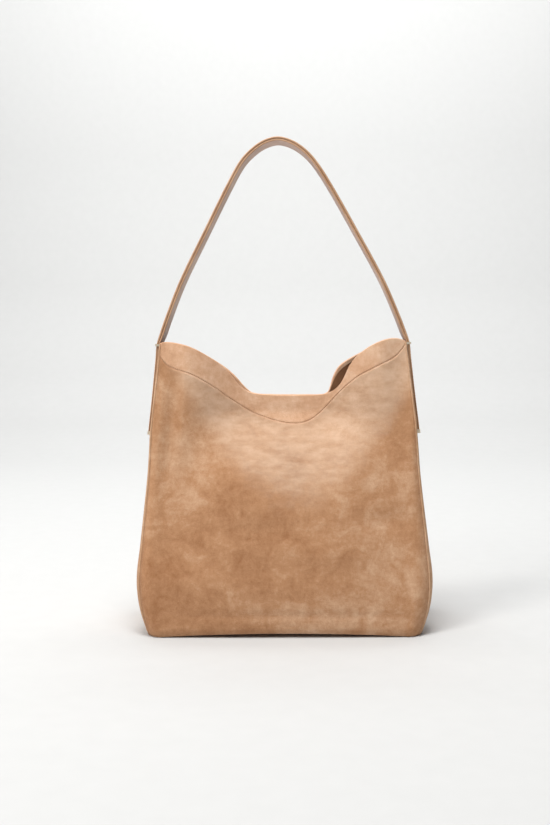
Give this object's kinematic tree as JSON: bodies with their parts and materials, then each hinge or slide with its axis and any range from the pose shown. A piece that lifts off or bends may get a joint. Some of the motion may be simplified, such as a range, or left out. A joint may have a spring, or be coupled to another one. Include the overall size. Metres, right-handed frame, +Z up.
{
  "type": "hobo bag",
  "caption": "Soft suede hobo bag with a curved yoke, pinched magnetic mouth, flat base and one long shoulder strap held by metal keepers.",
  "frame": {"origin": "centre of the base on the surface the bag stands on", "axes": "+Z up to the top of the standing strap; +X to the right seen from the front; the front wall faces -Y"},
  "size_m": [0.341, 0.147, 0.575],
  "materials": {
    "suede": "soft tan suede, brushed nap with light and dark mottling",
    "facing_leather": "smooth tan leather, matte",
    "lining_fabric": "brown cotton twill",
    "board": "stiff fibre board, matte",
    "strap_leather": "smooth tan strap leather with painted edges",
    "strap_lining_leather": "smooth pinkish-beige lining leather",
    "strap_filler": "bonded leather filler with a dark painted edge",
    "pale_gold": "polished pale gold plating",
    "steel": "plain zinc-plated steel",
    "magnet": "nickel-plated magnet cup",
    "zip_tape": "woven brown zip tape"
  },
  "bodies": {
    "root": {"base_board": "board", "base_lining": "lining_fabric", "base_panel": "suede", "gusset_left": "suede", "gusset_lining_left": "lining_fabric", "gusset_lining_right": "lining_fabric", "gusset_right": "suede", "keeper_plate_left": "steel", "keeper_plate_right": "steel", "keeper_rivets": "steel", "strap_end_left": "strap_leather", "strap_end_lining_left": "strap_lining_leather", "strap_end_lining_right": "strap_lining_leather", "strap_end_right": "strap_leather", "strap_keeper_left": "pale_gold", "strap_keeper_right": "pale_gold", "strap_screws": "steel", "strap_tip_left": "pale_gold", "strap_tip_right": "pale_gold", "strap_washer_left": "steel", "strap_washer_right": "steel"},
    "front_wall": {"front_panel": "suede", "front_yoke": "suede", "front_facing": "facing_leather", "front_lining": "lining_fabric", "front_magnet": "magnet", "front_magnet_plate": "steel", "slip_pocket": "facing_leather"},
    "back_wall": {"back_panel": "suede", "back_yoke": "suede", "back_facing": "facing_leather", "back_lining": "lining_fabric", "back_magnet": "magnet", "back_magnet_plate": "steel", "zip_pocket_bag": "lining_fabric", "zip_welt": "facing_leather", "zip_tapes": "zip_tape", "zip_teeth": "pale_gold", "zip_stops": "pale_gold"},
    "strap": {"strap_outer": "strap_leather", "strap_core": "strap_filler", "strap_lining": "strap_lining_leather"},
    "zip_slider": {"zip_slider": "pale_gold"},
    "zip_puller": {"zip_puller": "pale_gold"}
  },
  "joints": [
    {"name": "strap_swing", "type": "hinge", "parent": "root", "child": "strap", "pos_m": [0, 0, 0.362], "axis": [1, 0, 0], "range_deg": [-90, 90]},
    {"name": "front_mouth", "type": "hinge", "parent": "root", "child": "front_wall", "pos_m": [0, -0.0698, 0.0022], "axis": [1, 0, 0], "range_deg": [0, 10]},
    {"name": "back_mouth", "type": "hinge", "parent": "root", "child": "back_wall", "pos_m": [0, 0.0698, 0.0022], "axis": [-1, 0, 0], "range_deg": [0, 10]},
    {"name": "zip_slide", "type": "slide", "parent": "back_wall", "child": "zip_slider", "axis": [1, 0, 0], "range_m": [0, 0.13]},
    {"name": "zip_pull", "type": "hinge", "parent": "zip_slider", "child": "zip_puller", "pos_m": [-0.065, 0.03035, 0.1896], "axis": [0, 0.4702, -0.8826], "range_deg": [0, 170]}
  ]
}
